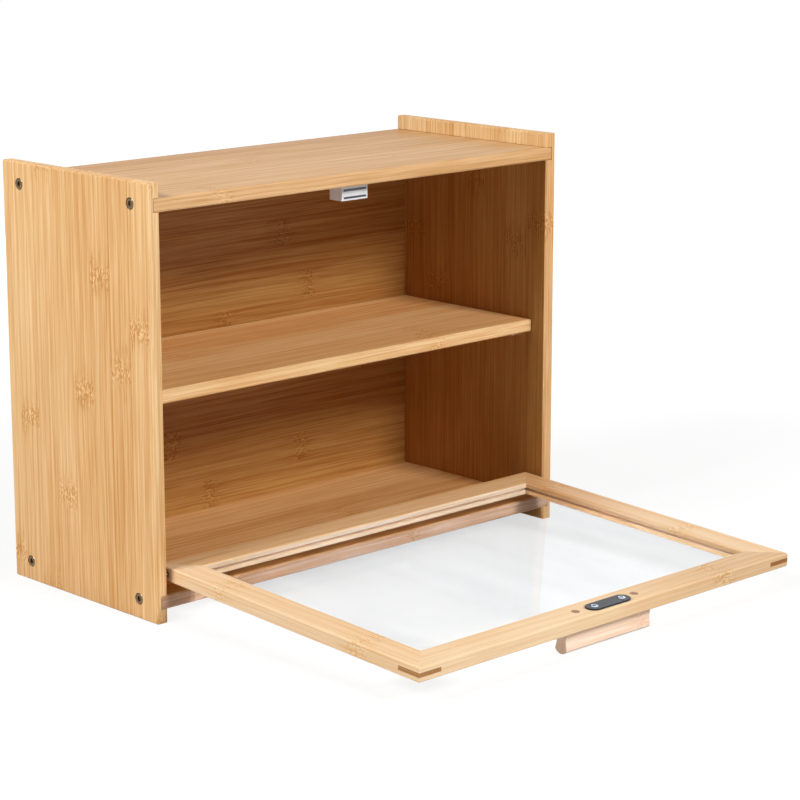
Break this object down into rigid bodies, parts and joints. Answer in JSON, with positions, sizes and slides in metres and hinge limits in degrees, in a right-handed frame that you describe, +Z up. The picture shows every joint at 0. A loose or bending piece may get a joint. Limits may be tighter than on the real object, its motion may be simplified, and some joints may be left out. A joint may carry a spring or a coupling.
{
  "type": "bread box",
  "caption": "Two-tier bamboo bread box with a loose middle shelf and a framed window door that swings down on two pins to lie on its handle.",
  "frame": {"origin": "on the counter, at the middle of the rectangle that the box covers with its door open", "axes": "+X to the right seen from the front, -Y the way the door opens, +Z up"},
  "size_m": [0.39, 0.4064, 0.302],
  "materials": {
    "side_bamboo": "bamboo with upright strips, satin lacquer",
    "board_bamboo": "bamboo with level strips, satin lacquer",
    "frame_bamboo": "bamboo with strips along each member, satin lacquer",
    "handle_bamboo": "pale bamboo, satin lacquer",
    "key_wood": "carbonised bamboo, brown",
    "clear_pane": "clear acrylic",
    "bronze_bolt": "antique bronze plating",
    "steel_pin": "plain steel",
    "white_plastic": "white moulded plastic",
    "magnet_ferrite": "dark ferrite",
    "pole_steel": "dull steel",
    "slate_steel": "dark blue-grey coating",
    "bright_screw": "bright zinc plating"
  },
  "bodies": {
    "cabinet": {"back_panel": "board_bamboo", "bottom_panel": "board_bamboo", "catch_housing": "white_plastic", "catch_magnet": "magnet_ferrite", "catch_pole_plates": "pole_steel", "catch_screws": "bright_screw", "middle_shelf": "board_bamboo", "pivot_pin_left": "steel_pin", "pivot_pin_right": "steel_pin", "shelf_pins": "steel_pin", "side_bolts_left": "bronze_bolt", "side_bolts_right": "bronze_bolt", "side_panel_left": "side_bamboo", "side_panel_right": "side_bamboo", "top_panel": "board_bamboo"},
    "door": {"corner_key_left": "key_wood", "corner_key_right": "key_wood", "door_handle_rail": "frame_bamboo", "door_hinge_rail": "frame_bamboo", "door_stile_left": "frame_bamboo", "door_stile_right": "frame_bamboo", "handle": "handle_bamboo", "handle_dowels": "key_wood", "strike_plate": "slate_steel", "strike_screws": "bright_screw", "window_pane": "clear_pane"}
  },
  "joints": [
    {"name": "door_hinge", "type": "hinge", "parent": "cabinet", "child": "door", "pos_m": [0, 0.04424, 0.032], "axis": [-1, 0, 0], "range_deg": [0, 92.47]}
  ]
}
